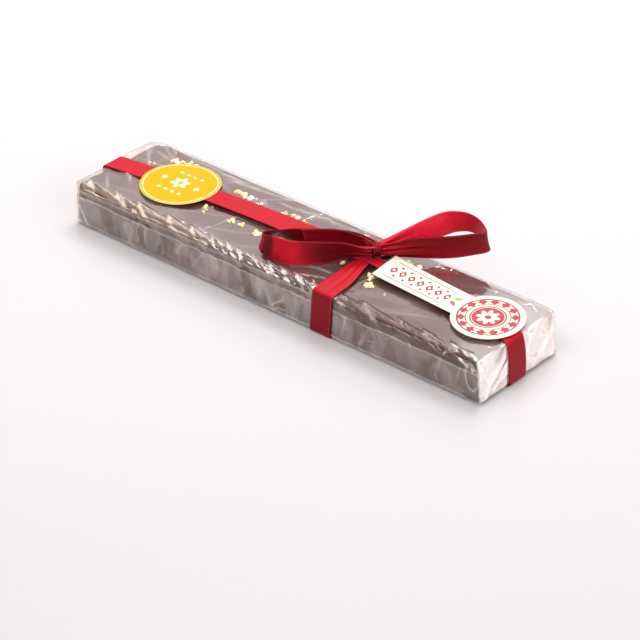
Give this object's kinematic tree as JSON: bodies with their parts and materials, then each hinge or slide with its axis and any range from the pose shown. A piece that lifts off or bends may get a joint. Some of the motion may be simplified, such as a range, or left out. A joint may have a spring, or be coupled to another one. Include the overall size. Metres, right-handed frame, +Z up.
{
  "type": "wrapped nougat bar",
  "caption": "Long flat chocolate-coated nougat bar in clear film, tied along and across with satin ribbon, with an upright bow, a round sticker and a paper tag; lies flat as a gift or sweet.",
  "frame": {"origin": "on the underside of the ribbon that runs along the bar, below the middle of the bar, where the part rests", "axes": "+X along the bar towards the end with the tag's round head, +Y to the rear long side, +Z up"},
  "size_m": [0.2124, 0.0671, 0.0365],
  "materials": {
    "film": "clear glossy film over a dark chocolate coating with pale nut crumbs",
    "ribbon": "red satin ribbon",
    "sticker": "smooth yellow label with a thin pale ring and plain printed shapes",
    "tag": "smooth cream card with a plain printed red seal"
  },
  "bodies": {
    "root": {"wrapped_bar": "film", "ribbon_bands": "ribbon", "bow": "ribbon", "sticker": "sticker", "tag": "tag"}
  },
  "joints": []
}
